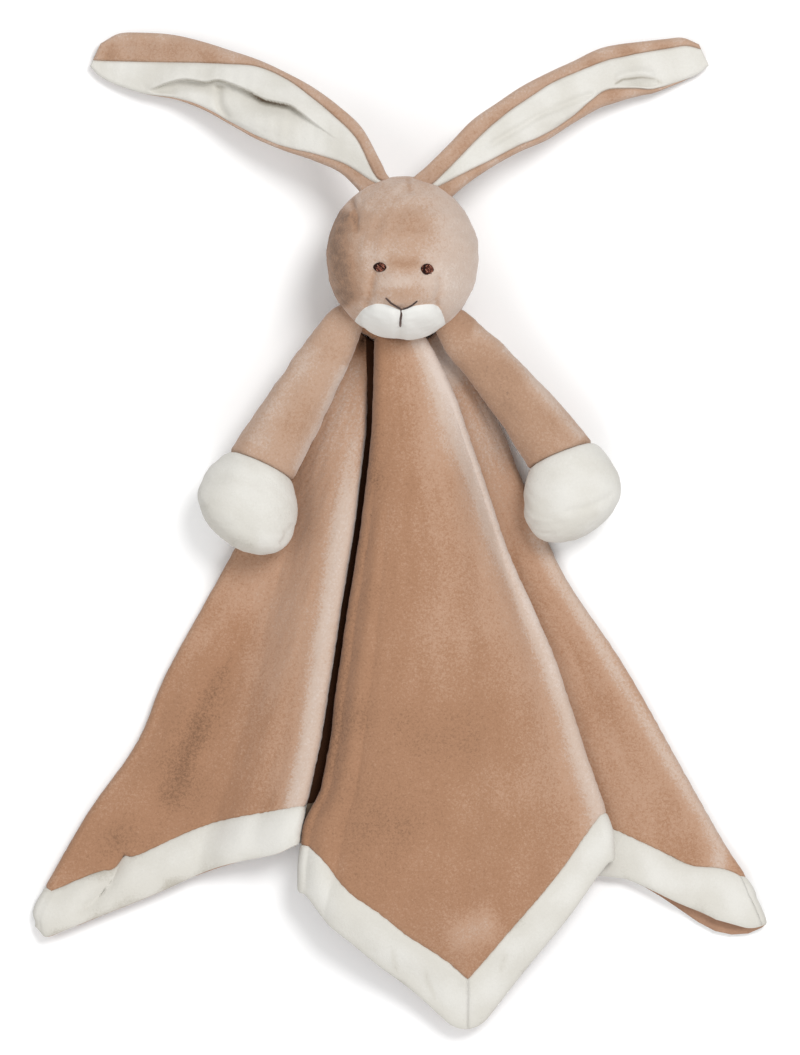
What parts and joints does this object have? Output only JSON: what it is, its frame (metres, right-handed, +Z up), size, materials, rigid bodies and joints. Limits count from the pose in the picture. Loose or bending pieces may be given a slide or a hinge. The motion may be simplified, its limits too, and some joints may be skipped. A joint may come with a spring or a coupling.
{
  "type": "comfort blanket toy",
  "caption": "Soft toy of a small plush head with long ears and two stuffed arms, joined to the gathered middle of a square velour cloth with cream borders.",
  "frame": {"origin": "on the table, under the middle of the part's bounding box, where the toy lies on its back", "axes": "+Z up from the table to the face, +Y from the cloth's hem to the ears, +X to the right as seen from above"},
  "size_m": [0.265, 0.3518, 0.0544],
  "materials": {
    "tan_velour": "soft tan velour",
    "cream_velour": "soft cream velour",
    "brown_lining": "smooth brown woven lining",
    "dark_thread": "dark brown embroidery thread",
    "fibre_fill": "white fibre filling"
  },
  "bodies": {
    "cloth": {"blanket_panel": "tan_velour", "blanket_lining": "brown_lining", "front_right_border": "cream_velour", "back_right_border": "cream_velour", "back_left_border": "cream_velour", "front_left_border": "cream_velour"},
    "neck": {"neck_gather": "tan_velour"},
    "head": {"head_face_panel": "tan_velour", "head_back_panel": "tan_velour", "muzzle_patch": "cream_velour", "head_stuffing": "fibre_fill", "left_eye": "dark_thread", "right_eye": "dark_thread", "mouth_stitch": "dark_thread"},
    "left_ear": {"left_ear_outer": "tan_velour", "left_ear_inner": "cream_velour"},
    "right_ear": {"right_ear_outer": "tan_velour", "right_ear_inner": "cream_velour"},
    "left_arm": {"left_sleeve": "tan_velour", "left_paw": "cream_velour", "left_arm_stuffing": "fibre_fill"},
    "right_arm": {"right_sleeve": "tan_velour", "right_paw": "cream_velour", "right_arm_stuffing": "fibre_fill"}
  },
  "joints": [
    {"name": "head_tilt", "type": "hinge", "parent": "cloth", "child": "neck", "pos_m": [0.00318, 0.08593, 0.012], "axis": [0, 0, 1], "range_deg": [-10, 10]},
    {"name": "head_nod", "type": "hinge", "parent": "neck", "child": "head", "pos_m": [0.00468, 0.06593, 0.0245], "axis": [1, 0, 0], "range_deg": [0, 20]},
    {"name": "left_ear_fold", "type": "hinge", "parent": "head", "child": "left_ear", "pos_m": [-0.00652, 0.12323, 0.032], "axis": [0.8944, 0.4472, 0], "range_deg": [0, 60]},
    {"name": "right_ear_fold", "type": "hinge", "parent": "head", "child": "right_ear", "pos_m": [0.01698, 0.12183, 0.032], "axis": [0.9119, -0.4105, 0], "range_deg": [0, 60]},
    {"name": "left_arm_swing", "type": "hinge", "parent": "cloth", "child": "left_arm", "pos_m": [-0.01762, 0.07723, 0.0234], "axis": [0, 0, -1], "range_deg": [0, 30]},
    {"name": "right_arm_swing", "type": "hinge", "parent": "cloth", "child": "right_arm", "pos_m": [0.02598, 0.07723, 0.0234], "axis": [0, 0, 1], "range_deg": [0, 30]}
  ]
}
